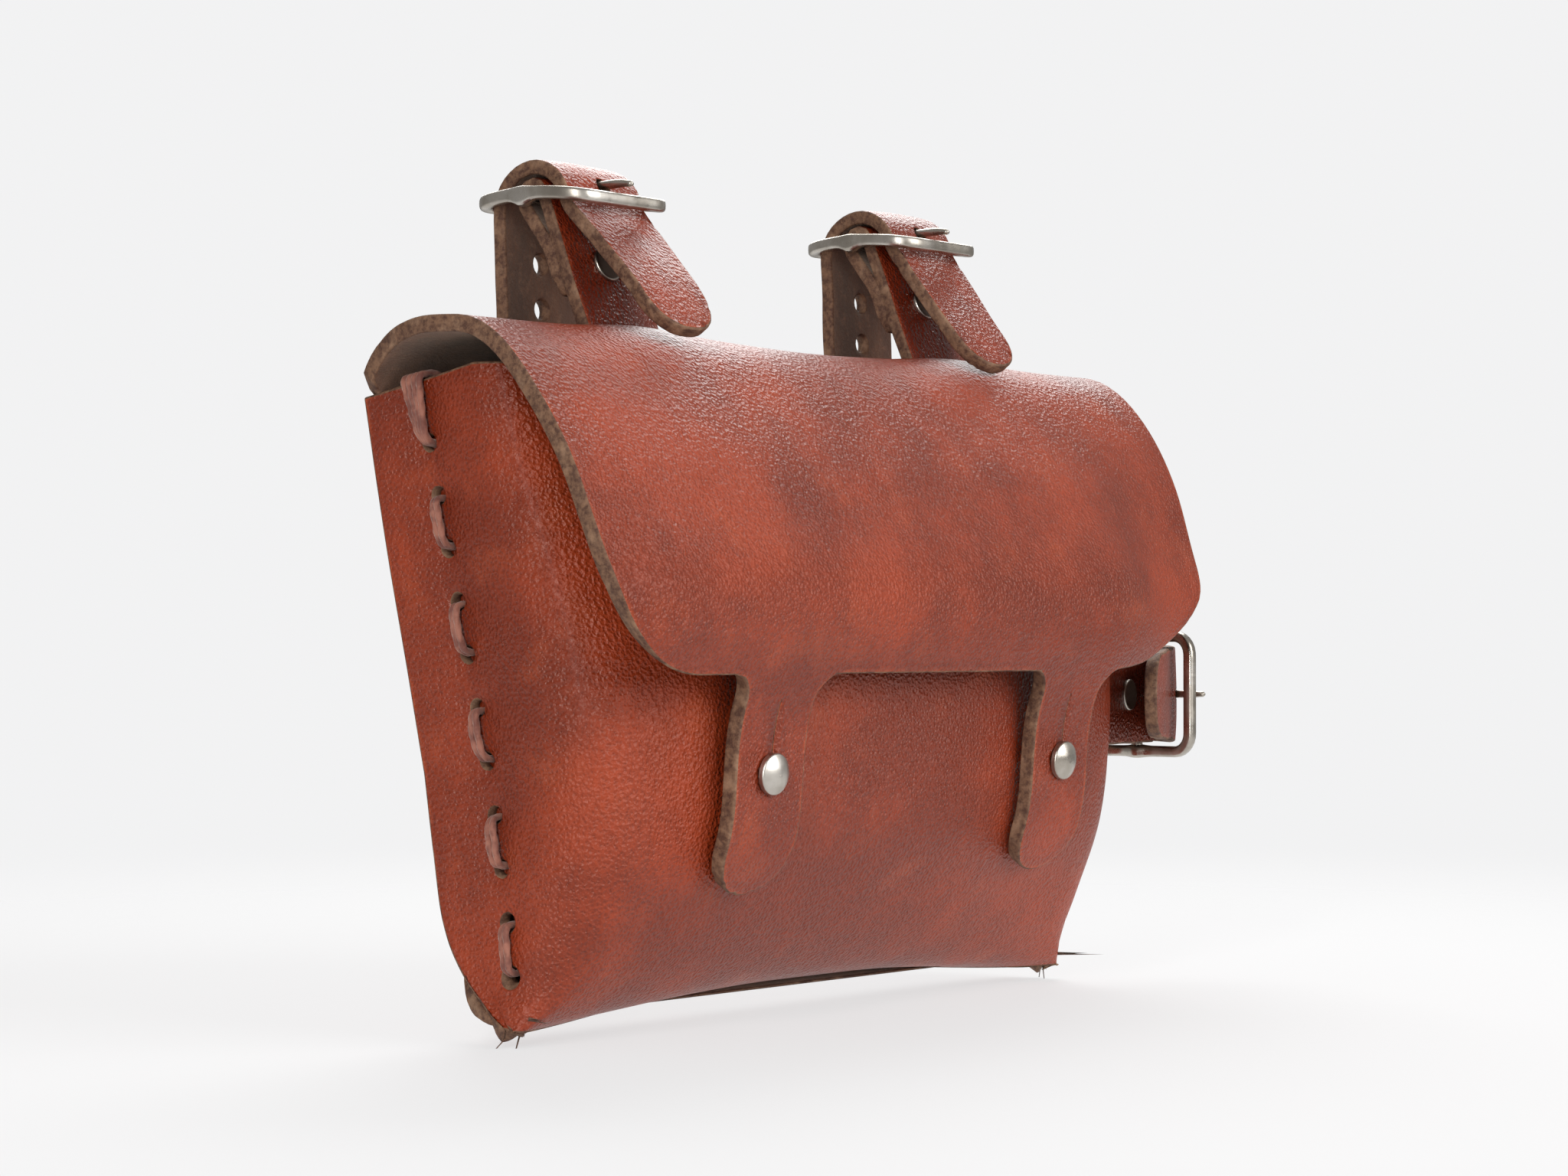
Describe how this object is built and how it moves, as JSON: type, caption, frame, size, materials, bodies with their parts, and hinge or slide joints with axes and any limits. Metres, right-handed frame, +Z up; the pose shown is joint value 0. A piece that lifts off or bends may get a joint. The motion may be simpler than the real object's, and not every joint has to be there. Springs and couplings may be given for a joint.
{
  "type": "saddle bag",
  "caption": "Leather saddle bag with a studded flap, laced sides and three buckled straps that loop round rails or a post.",
  "frame": {"origin": "bottom centre of the whole assembly's box, on the surface that the bag stands on", "axes": "+Z up, +X to the bag's right end seen from the front, where the side strap is, and +Y to the back panel"},
  "size_m": [0.2272, 0.069, 0.1684],
  "materials": {
    "body_leather": "semi-gloss vegetable-tanned leather with fine grain",
    "strap_leather": "semi-gloss leather with raw tan edges",
    "waxed_thread": "waxed twisted thread",
    "satin_nickel": "satin nickel"
  },
  "bodies": {
    "bag": {"body_hide": "body_leather", "stitch_thread_left": "waxed_thread", "stitch_thread_right": "waxed_thread", "stud_left": "satin_nickel", "stud_right": "satin_nickel", "stud_screw_left": "satin_nickel", "stud_screw_right": "satin_nickel", "left_strap": "strap_leather", "left_rivet_cap": "satin_nickel", "left_rivet_post": "satin_nickel", "right_strap": "strap_leather", "right_rivet_cap": "satin_nickel", "right_rivet_post": "satin_nickel", "side_strap": "strap_leather", "side_rivet_cap": "satin_nickel", "side_rivet_post": "satin_nickel"},
    "flap": {"flap": "body_leather"},
    "left_tip": {"left_strap_tip": "strap_leather"},
    "left_frame": {"left_buckle_frame": "satin_nickel"},
    "left_prong": {"left_prong": "satin_nickel"},
    "right_tip": {"right_strap_tip": "strap_leather"},
    "right_frame": {"right_buckle_frame": "satin_nickel"},
    "right_prong": {"right_prong": "satin_nickel"},
    "side_tip": {"side_strap_tip": "strap_leather"},
    "side_frame": {"side_buckle_frame": "satin_nickel"},
    "side_prong": {"side_prong": "satin_nickel"}
  },
  "joints": [
    {"name": "flap_fold", "type": "hinge", "parent": "bag", "child": "flap", "pos_m": [-0.0106, -0.00083, 0.1347], "axis": [-1, 0, 0], "range_deg": [0, 75]},
    {"name": "left_tip_bend", "type": "hinge", "parent": "bag", "child": "left_tip", "pos_m": [-0.0631, 0.00765, 0.15539], "axis": [-1, 0, 0], "range_deg": [0, 50]},
    {"name": "left_frame_rock", "type": "hinge", "parent": "bag", "child": "left_frame", "pos_m": [-0.0631, 0.02067, 0.1607], "axis": [-1, 0, 0], "range_deg": [-4, 4]},
    {"name": "left_prong_lift", "type": "hinge", "parent": "left_frame", "child": "left_prong", "pos_m": [-0.0631, 0.02067, 0.1607], "axis": [-1, 0, 0], "range_deg": [0, 5]},
    {"name": "right_tip_bend", "type": "hinge", "parent": "bag", "child": "right_tip", "pos_m": [0.0419, 0.00774, 0.15521], "axis": [-1, 0, 0], "range_deg": [0, 50]},
    {"name": "right_frame_rock", "type": "hinge", "parent": "bag", "child": "right_frame", "pos_m": [0.0419, 0.02067, 0.1607], "axis": [-1, 0, 0], "range_deg": [-4, 4]},
    {"name": "right_prong_lift", "type": "hinge", "parent": "right_frame", "child": "right_prong", "pos_m": [0.0419, 0.02067, 0.1607], "axis": [-1, 0, 0], "range_deg": [0, 5]},
    {"name": "side_tip_bend", "type": "hinge", "parent": "bag", "child": "side_tip", "pos_m": [0.09974, -0.01529, 0.063], "axis": [0, 0, 1], "range_deg": [0, 40]},
    {"name": "side_frame_rock", "type": "hinge", "parent": "bag", "child": "side_frame", "pos_m": [0.1059, -0.00283, 0.063], "axis": [0, 0, 1], "range_deg": [-4, 4]},
    {"name": "side_prong_lift", "type": "hinge", "parent": "side_frame", "child": "side_prong", "pos_m": [0.1059, -0.00283, 0.063], "axis": [0, 0, 1], "range_deg": [0, 5]}
  ],
  "couplings": [
    {"joint": "left_tip_bend", "follows": "flap_fold", "ratio": 0.66667},
    {"joint": "right_tip_bend", "follows": "flap_fold", "ratio": 0.66667}
  ]
}
